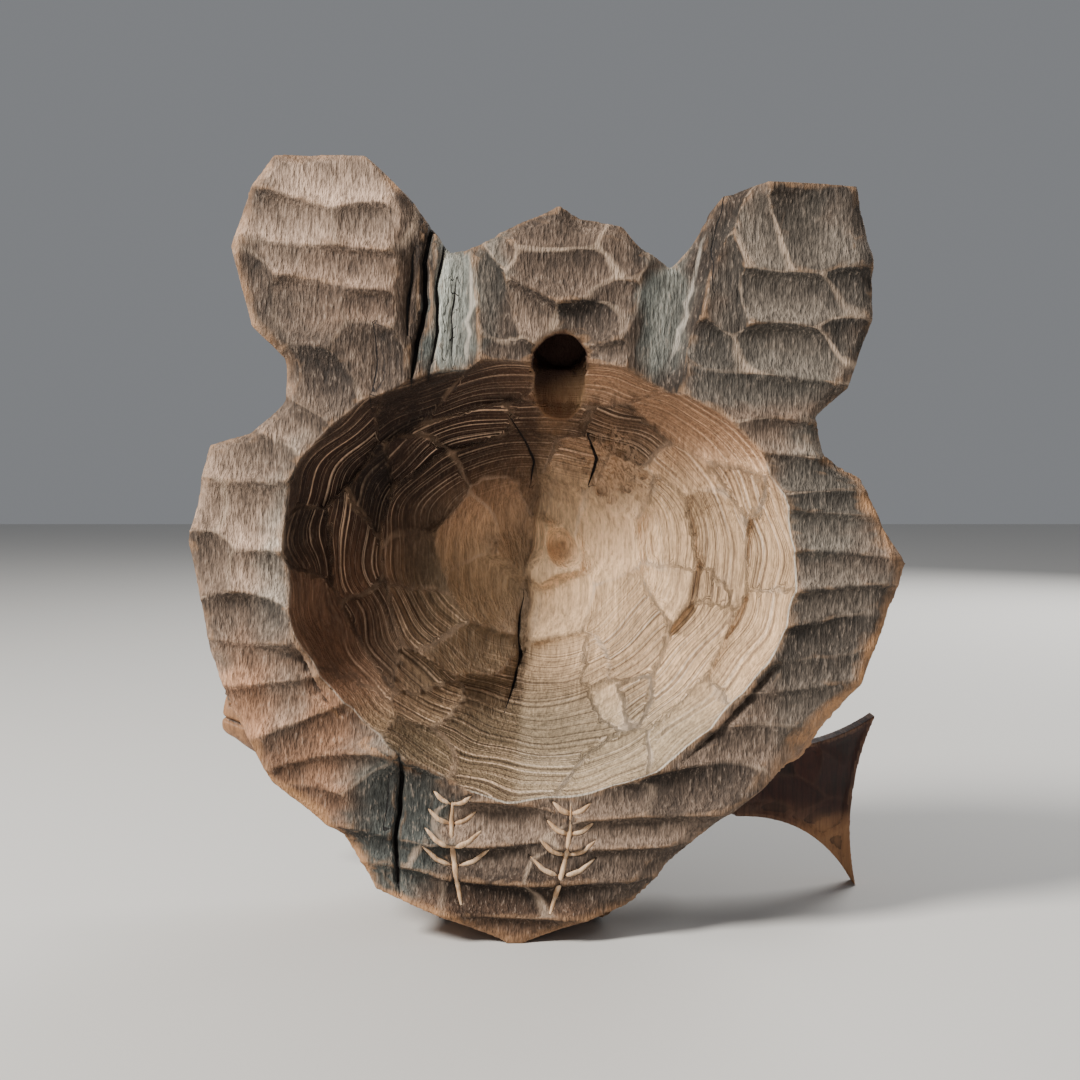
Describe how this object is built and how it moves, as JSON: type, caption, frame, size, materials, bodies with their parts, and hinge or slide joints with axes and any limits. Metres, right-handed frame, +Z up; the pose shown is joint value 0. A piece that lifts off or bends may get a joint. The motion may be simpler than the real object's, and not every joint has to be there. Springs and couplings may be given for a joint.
{
  "type": "carved bear-head wall mask",
  "caption": "Carved wooden bear's head wall mask, hollowed behind, with glass eyes, pegged fangs and a salmon pushed sideways through its jaws.",
  "frame": {"origin": "on the table plane, under the middle of the standing mask's box", "axes": "+Z up as it stands, +Y out of its hollowed back, and the face looks along -Y with the mask's own left at +X"},
  "size_m": [0.2246, 0.11, 0.2366],
  "materials": {
    "bear_wood": "dark stain over gouge cuts, worn to raw wood on the edges",
    "salmon_wood": "red-brown stain, waxed",
    "eye_glass": "clear amber glass, polished",
    "pupil_enamel": "gloss black enamel",
    "fang_wood": "pale close-grained wood, bare",
    "tack_brass": "dulled round-headed tack"
  },
  "bodies": {
    "head": {"bear_head": "bear_wood", "left_eye_glass": "eye_glass", "right_eye_glass": "eye_glass", "left_eye_pupil": "pupil_enamel", "right_eye_pupil": "pupil_enamel", "upper_left_fang": "fang_wood", "upper_right_fang": "fang_wood", "lower_left_fang": "fang_wood", "lower_right_fang": "fang_wood"},
    "fish": {"salmon": "salmon_wood", "salmon_back_eye": "tack_brass", "salmon_front_eye": "tack_brass"}
  },
  "joints": [
    {"name": "salmon_slide", "type": "slide", "parent": "head", "child": "fish", "axis": [-0.9912, 0, -0.1323], "range_m": [0, 0.15]}
  ]
}
